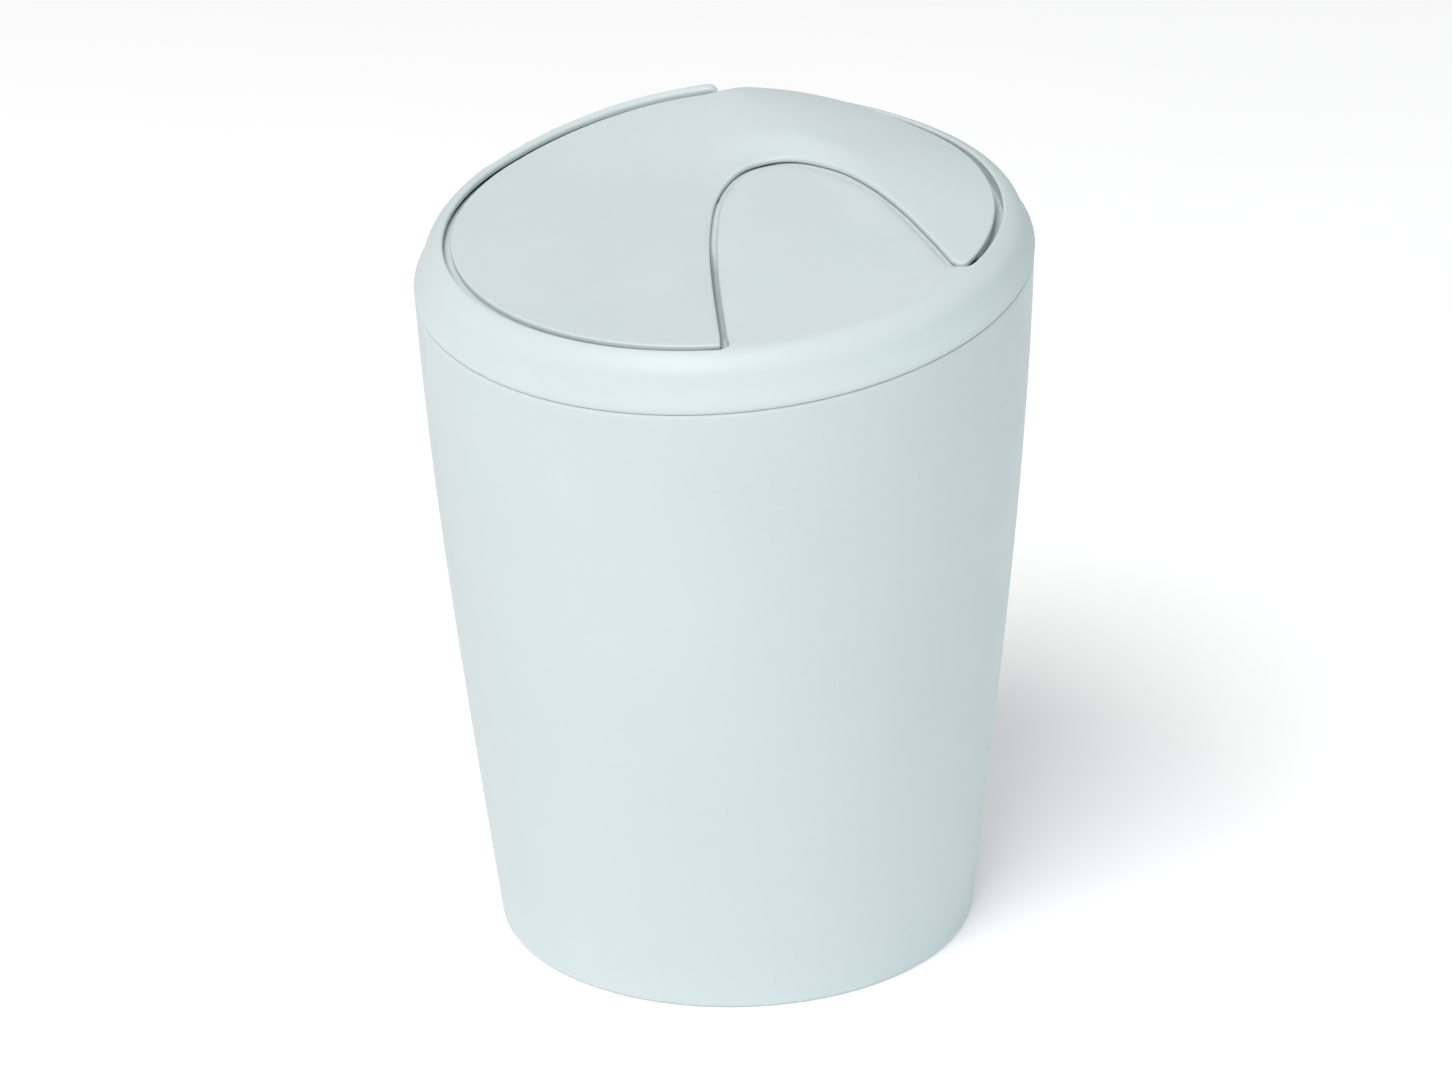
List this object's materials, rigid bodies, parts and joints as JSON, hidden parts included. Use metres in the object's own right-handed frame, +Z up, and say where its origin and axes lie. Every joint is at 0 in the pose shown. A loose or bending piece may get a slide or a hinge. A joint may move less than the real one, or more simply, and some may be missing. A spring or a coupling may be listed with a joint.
{
  "type": "wastebasket",
  "caption": "Round tapered swing-lid waste bin: slanted push-fit lid ring with a fixed tongue and a weighted comma-shaped flap that swings on a front-to-back pivot.",
  "frame": {"origin": "centre of the bucket's foot, on the surface it stands on", "axes": "+Z up along the bucket's axis, -Y towards the front (the low side of the lid and the corner of the flap), +X to the right"},
  "size_m": [0.199, 0.1988, 0.259],
  "materials": {
    "frosted_white": "satin frosted, slightly cool white",
    "pin_white": "smooth moulded",
    "zinc_steel": "zinc plated"
  },
  "bodies": {
    "bin": {"bucket": "frosted_white"},
    "lid": {"lid_ring": "frosted_white"},
    "flap": {"swing_flap": "frosted_white", "pivot_pin_front": "pin_white", "pivot_pin_rear": "pin_white", "counterweight": "zinc_steel", "weight_cover": "frosted_white"}
  },
  "joints": [
    {"name": "lid_lift", "type": "slide", "parent": "bin", "child": "lid", "axis": [0, 0, 1], "range_m": [0, 0.12]},
    {"name": "flap_swing", "type": "hinge", "parent": "lid", "child": "flap", "pos_m": [0, 0, 0.2344], "axis": [0, -0.9918, -0.1279], "range_deg": [0, 70]}
  ]
}
